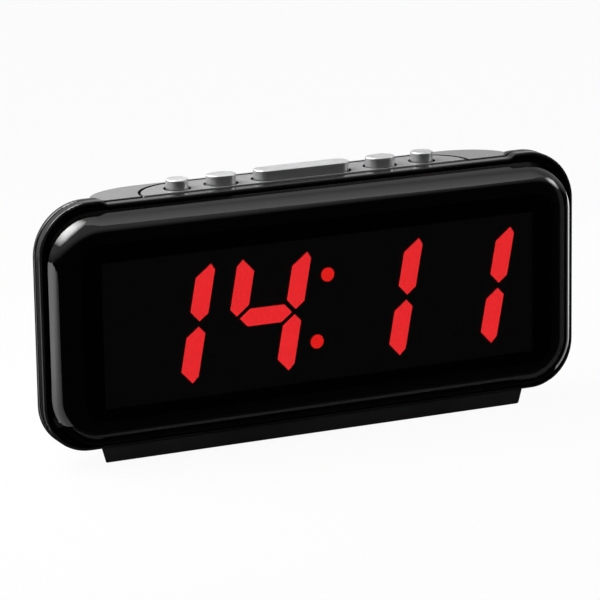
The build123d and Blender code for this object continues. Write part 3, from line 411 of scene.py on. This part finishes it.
# white studio: pale floor and a world that is dimmer in the gloss
studioLook = {"floorSize": 6.0, "floorColour": (0.8, 0.8, 0.8), "floorRough": 0.9, "floorLift": 0.95,
              "ambient": 0.32, "backGloss": 0.6, "frontGloss": 0.008,
              "glossLean": (0, 0.35, 0.94), "glossRun": (0.05, 0.4)}


def flatSheet(name, corners):
    mesh = bpy.data.meshes.new(name)
    mesh.from_pydata(corners, [], [tuple(range(len(corners)))])
    sheet = bpy.data.objects.new(name, mesh)
    scene.collection.objects.link(sheet)
    return sheet


def seenDirectly(tree, path):
    # 1 for what the camera sees, straight on or through a clear piece
    seen = addNode(tree, "ShaderNodeMath", operation="MAXIMUM")
    tree.links.new(path.outputs["Is Camera Ray"], seen.inputs[0])
    tree.links.new(path.outputs["Is Transmission Ray"], seen.inputs[1])
    return seen.outputs["Value"]


def floorWhite(look):
    # mostly even white to the camera, with enough of a lit surface left to keep the shadow
    material, tree, shader = newFinish("floorWhite")
    shader.inputs["Base Color"].default_value = (*look["floorColour"], 1)
    shader.inputs["Roughness"].default_value = look["floorRough"]
    path = addNode(tree, "ShaderNodeLightPath")
    glow = addNode(tree, "ShaderNodeEmission")
    share = addNode(tree, "ShaderNodeMath", operation="MULTIPLY")
    tree.links.new(seenDirectly(tree, path), share.inputs[0])
    share.inputs[1].default_value = look["floorLift"]
    mix = addNode(tree, "ShaderNodeMixShader")
    tree.links.new(share.outputs["Value"], mix.inputs["Fac"])
    tree.links.new(shader.outputs["BSDF"], mix.inputs[1])
    tree.links.new(glow.outputs["Emission"], mix.inputs[2])
    tree.links.new(mix.outputs["Shader"], tree.nodes["Material Output"].inputs["Surface"])
    return material


half = studioLook["floorSize"] / 2
floor = flatSheet("studioFloor", [(-half, -half, 0), (half, -half, 0), (half, half, 0), (-half, half, 0)])
floor.data.materials.append(floorWhite(studioLook))
floor.visible_glossy = False


def worldStrength(tree, look):
    # white to the camera, an even fill on the clock, and for the gloss a backdrop that is dark in front
    path = addNode(tree, "ShaderNodeLightPath")
    way = addNode(tree, "ShaderNodeTexCoord")
    lean = addNode(tree, "ShaderNodeVectorMath", operation="DOT_PRODUCT")
    tree.links.new(way.outputs["Generated"], lean.inputs[0])
    lean.inputs[1].default_value = look["glossLean"]
    gloss = spread(tree, lean.outputs["Value"], look["frontGloss"], look["backGloss"], look["glossRun"])
    plain = addNode(tree, "ShaderNodeMix", data_type="FLOAT")
    tree.links.new(path.outputs["Is Glossy Ray"], plain.inputs["Factor"])
    plain.inputs["A"].default_value = look["ambient"]
    tree.links.new(gloss, plain.inputs["B"])
    full = addNode(tree, "ShaderNodeMix", data_type="FLOAT")
    tree.links.new(seenDirectly(tree, path), full.inputs["Factor"])
    tree.links.new(plain.outputs["Result"], full.inputs["A"])
    full.inputs["B"].default_value = 1.0
    return full.outputs["Result"]


world = bpy.data.worlds.new("studioWhite")
scene.world = world
world.use_nodes = True
background = world.node_tree.nodes["Background"]
background.inputs["Color"].default_value = (1, 1, 1, 1)
world.node_tree.links.new(worldStrength(world.node_tree, studioLook), background.inputs["Strength"])


def aimAt(thing, look):
    thing.location = look["place"]
    way = Vector(look["aim"]) - Vector(look["place"])
    thing.rotation_euler = way.to_track_quat("-Z", "Y").to_euler()


# one soft lamp, up on the left and a little behind
lampLook = {"place": (-0.30, 0.10, 0.38), "aim": (0, 0, 0.06), "size": 0.3, "power": 2.05}
lampData = bpy.data.lights.new("keyLamp", "AREA")
lampData.shape = "RECTANGLE"
lampData.size = lampLook["size"]
lampData.size_y = lampLook["size"]
lampData.energy = lampLook["power"]
lamp = bpy.data.objects.new("keyLamp", lampData)
aimAt(lamp, lampLook)
lamp.visible_camera = False
lamp.visible_glossy = False
scene.collection.objects.link(lamp)

# pale cards that only the gloss shows: two round ones that fade outward, and four flat sheets
roundLooks = {
    "keyCard": {"place": (-0.31, 0.12, 0.47), "aim": (-0.1, 0, 0.09), "radius": 0.3, "glow": 17},
    "rightCard": {"place": (0.53, -0.17, 0.28), "aim": (0.1, 0, 0.09), "radius": 0.12, "glow": 10},
}
roundShape = {"corners": 48, "core": 0.25}  # core: the share of the radius that is at full glow
sheetLooks = {
    "ceilingCard": {"outline": [(-0.35, 0.14), (0.45, -0.58), (1.0, 0.0), (0.2, 0.7)], "height": 0.6,
                    "along": (0.65, 0.76, 0), "run": (-0.2, 0.3), "glow": (2.2, 0.6)},
    "leftFloorCard": {"outline": [(-0.115, -0.03), (-0.122, 0.0), (-0.6, 1.0), (-1.5, 0.6), (-0.40, -0.06)],
                      "height": 0.001, "along": (0, 1, 0), "run": (-0.03, 0.06), "glow": (0.8, 2.5)},
    "rightFloorCard": {"outline": [(0.12, 0.02), (0.75, 0.30), (0.75, 0.72), (0.12, 0.11)],
                       "height": 0.001, "along": (1, 0, 0), "run": (0, 1), "glow": (2.5, 2.5)},
    "rightFrontCard": {"outline": [(0.12, -0.017), (0.75, 0.09), (0.75, 0.30), (0.12, 0.02)],
                       "height": 0.001, "along": (1, 0, 0), "run": (0, 1), "glow": (0.7, 0.7)},
}


def onlyInGloss(card):
    card.visible_camera = False
    card.visible_diffuse = False
    card.visible_transmission = False
    card.visible_shadow = False


def cardGlow(name, along, glow, run):
    # glow that changes along a direction, or outward from the middle where there is none
    material = bpy.data.materials.new(name)
    material.use_nodes = True
    tree = material.node_tree
    tree.nodes.remove(tree.nodes["Principled BSDF"])
    light = addNode(tree, "ShaderNodeEmission")
    tree.links.new(light.outputs["Emission"], tree.nodes["Material Output"].inputs["Surface"])
    place = addNode(tree, "ShaderNodeTexCoord")
    measure = addNode(tree, "ShaderNodeVectorMath", operation="DOT_PRODUCT" if along else "LENGTH")
    tree.links.new(place.outputs["Object"], measure.inputs[0])
    if along:
        measure.inputs[1].default_value = along
    strength = spread(tree, measure.outputs["Value"], glow[0], glow[1], run)
    tree.links.new(strength, light.inputs["Strength"])
    return material


for name, look in roundLooks.items():
    radius = look["radius"]
    angles = [math.tau * k / roundShape["corners"] for k in range(roundShape["corners"])]
    card = flatSheet(name, [(radius * math.cos(a), radius * math.sin(a), 0) for a in angles])
    aimAt(card, look)
    fade = (radius * roundShape["core"], radius)
    card.data.materials.append(cardGlow(name, None, (look["glow"], 0.0), fade))
    onlyInGloss(card)

for name, look in sheetLooks.items():
    card = flatSheet(name, [(x, y, look["height"]) for x, y in look["outline"]])
    card.data.materials.append(cardGlow(name, look["along"], look["glow"], look["run"]))
    onlyInGloss(card)
print("studio set")
